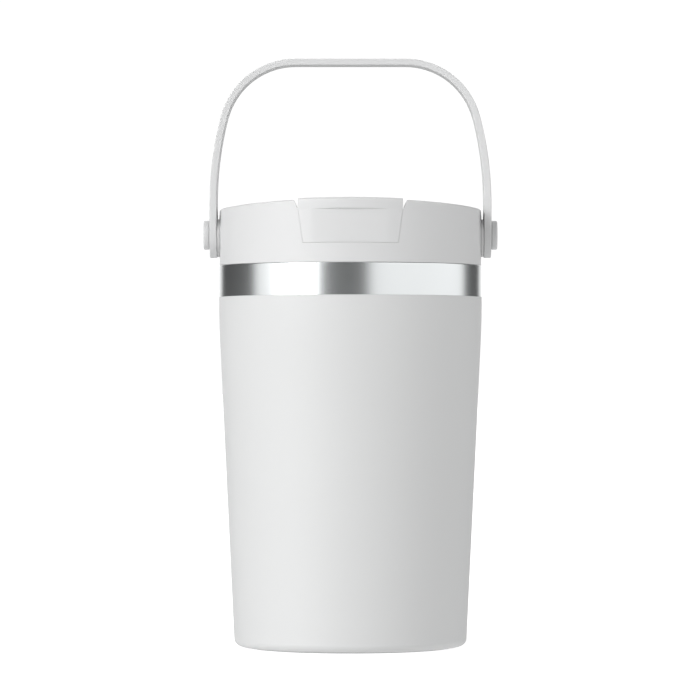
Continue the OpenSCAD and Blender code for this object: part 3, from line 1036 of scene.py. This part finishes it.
def combine(tree, first, second, operation="ADD"):
    node = tree.nodes.new("ShaderNodeMath")
    node.operation = operation
    tree.links.new(first, node.inputs[0])
    tree.links.new(second, node.inputs[1])
    return node.outputs["Value"]


def panel_glow(tree, heading, azimuth, half, soft, strength):
    """Brightness of one panel in each level direction."""
    a = math.radians(azimuth)
    dot = tree.nodes.new("ShaderNodeVectorMath")
    dot.operation = "DOT_PRODUCT"
    dot.inputs[1].default_value = (math.sin(a), -math.cos(a), 0)
    tree.links.new(heading, dot.inputs[0])
    return ramp(tree, dot.outputs["Value"], math.cos(math.radians(half + soft)),
                math.cos(math.radians(half - soft)), 0, strength)


def studio():
    """Ring of tall soft panels round the object; the camera sees plain white."""
    world = bpy.data.worlds.new("studio")
    bpy.context.scene.world = world
    world.use_nodes = True
    tree = world.node_tree
    tree.nodes.clear()
    coords = tree.nodes.new("ShaderNodeTexCoord")
    split = tree.nodes.new("ShaderNodeSeparateXYZ")
    level = tree.nodes.new("ShaderNodeCombineXYZ")
    heading = tree.nodes.new("ShaderNodeVectorMath")
    heading.operation = "NORMALIZE"
    tree.links.new(coords.outputs["Generated"], split.inputs[0])
    tree.links.new(split.outputs["X"], level.inputs["X"])
    tree.links.new(split.outputs["Y"], level.inputs["Y"])
    tree.links.new(level.outputs[0], heading.inputs[0])

    height = split.outputs["Z"]
    glow = None
    for panel in PANELS:
        part = panel_glow(tree, heading.outputs["Vector"], *panel)
        glow = combine(tree, glow, part) if glow else part
    for fade in (ramp(tree, height, *PANEL_FOOT, 0, 1), ramp(tree, height, *PANEL_HEAD, 1, 0)):
        glow = combine(tree, glow, fade, "MULTIPLY")
    for rest in (ramp(tree, height, *DEEP, BENEATH - BELOW, 0),
                 ramp(tree, height, *PANEL_FOOT, BELOW, BETWEEN),
                 ramp(tree, height, *PANEL_HEAD, 0, ABOVE)):
        glow = combine(tree, glow, rest)

    room = tree.nodes.new("ShaderNodeBackground")
    room.inputs["Color"].default_value = (1, 1, 1, 1)
    tree.links.new(glow, room.inputs["Strength"])
    plain = tree.nodes.new("ShaderNodeBackground")
    plain.inputs["Color"].default_value = (1, 1, 1, 1)
    plain.inputs["Strength"].default_value = BACKDROP
    path = tree.nodes.new("ShaderNodeLightPath")
    mix = tree.nodes.new("ShaderNodeMixShader")
    out = tree.nodes.new("ShaderNodeOutputWorld")
    tree.links.new(path.outputs["Is Camera Ray"], mix.inputs["Fac"])
    tree.links.new(room.outputs[0], mix.inputs[1])
    tree.links.new(plain.outputs[0], mix.inputs[2])
    tree.links.new(mix.outputs[0], out.inputs["Surface"])


# Camera, metres and degrees: nearly level, in front of the middle of the cup
CAMERA_SIDE = -0.00015
CAMERA_BACK = 1.362
CAMERA_HEIGHT = 0.0884
CAMERA_TILT = 0.464              # upwards from level
LENS = 208.9                     # focal length on a 36 mm sensor


def camera():
    data = bpy.data.cameras.new("camera")
    data.sensor_width = 36
    data.lens = LENS
    data.clip_end = 100
    cam = bpy.data.objects.new("camera", data)
    bpy.context.scene.collection.objects.link(cam)
    cam.location = (CAMERA_SIDE, -CAMERA_BACK, CAMERA_HEIGHT)
    cam.rotation_euler = (math.radians(90 + CAMERA_TILT), 0, 0)
    bpy.context.scene.camera = cam


plain_floor()
studio()
camera()
bpy.context.scene.view_settings.view_transform = "Standard"
